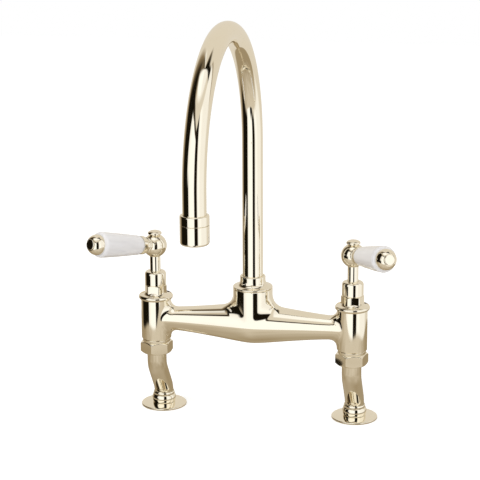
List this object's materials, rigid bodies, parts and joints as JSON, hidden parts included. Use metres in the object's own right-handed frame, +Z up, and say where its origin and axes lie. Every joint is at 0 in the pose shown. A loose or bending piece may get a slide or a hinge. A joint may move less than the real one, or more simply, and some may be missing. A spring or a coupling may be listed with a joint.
{
  "type": "kitchen mixer tap",
  "caption": "Deck-mounted bridge mixer tap with a swivelling swan-neck spout, porcelain levers and cranked legs.",
  "frame": {"origin": "on the worktop's upper face, midway between the two holes", "axes": "+X to the right along the bridge, -Y towards the user, +Z up"},
  "size_m": [0.299, 0.2965, 0.4768],
  "materials": {
    "plated_brass": "polished pale gold plate",
    "raw_brass": "machined",
    "porcelain": "glossy",
    "disc_ceramic": "lapped",
    "rubber": "matte",
    "steel": "plain",
    "nylon": "satin"
  },
  "bodies": {
    "tap_body": {"bridge_body": "plated_brass", "spout_collar": "plated_brass", "spout_bearing_lower": "nylon", "spout_bearing_upper": "nylon", "left_leg": "plated_brass", "left_foot_rose": "plated_brass", "left_foot_gasket": "rubber", "left_tail": "raw_brass", "left_clamp_washer": "rubber", "left_plate_washer": "steel", "left_backnut": "raw_brass", "left_union_nut": "plated_brass", "left_union_washer": "rubber", "left_bonnet": "plated_brass", "left_bonnet_seal": "rubber", "left_gland_nut": "plated_brass", "left_seat_seal": "rubber", "left_fixed_disc": "disc_ceramic", "right_leg": "plated_brass", "right_foot_rose": "plated_brass", "right_foot_gasket": "rubber", "right_tail": "raw_brass", "right_clamp_washer": "rubber", "right_plate_washer": "steel", "right_backnut": "raw_brass", "right_union_nut": "plated_brass", "right_union_washer": "rubber", "right_bonnet": "plated_brass", "right_bonnet_seal": "rubber", "right_gland_nut": "plated_brass", "right_seat_seal": "rubber", "right_fixed_disc": "disc_ceramic"},
    "spout": {"spout_spigot": "raw_brass", "spigot_orings": "rubber", "spout_tube": "plated_brass", "outlet_collar": "plated_brass", "aerator_housing": "plated_brass", "aerator_insert": "nylon", "aerator_washer": "rubber"},
    "left_lever": {"left_moving_disc": "disc_ceramic", "left_spindle": "raw_brass", "left_spindle_orings": "rubber", "left_lever_hub": "plated_brass", "left_hub_screw": "steel", "left_hub_cap": "plated_brass", "left_grip": "porcelain", "left_grip_rod": "steel", "left_end_cap": "plated_brass", "left_tip_knob": "plated_brass"},
    "right_lever": {"right_moving_disc": "disc_ceramic", "right_spindle": "raw_brass", "right_spindle_orings": "rubber", "right_lever_hub": "plated_brass", "right_hub_screw": "steel", "right_hub_cap": "plated_brass", "right_grip": "porcelain", "right_grip_rod": "steel", "right_end_cap": "plated_brass", "right_tip_knob": "plated_brass"}
  },
  "joints": [
    {"name": "spout_swivel", "type": "hinge", "parent": "tap_body", "child": "spout", "pos_m": [0, -0.0247, 0.1215], "axis": [0, 0, 1], "continuous": true},
    {"name": "left_lever_turn", "type": "hinge", "parent": "tap_body", "child": "left_lever", "pos_m": [-0.1, -0.0247, 0.177], "axis": [0, 0, -1], "range_deg": [0, 90]},
    {"name": "right_lever_turn", "type": "hinge", "parent": "tap_body", "child": "right_lever", "pos_m": [0.1, -0.0247, 0.177], "axis": [0, 0, 1], "range_deg": [0, 90]}
  ]
}
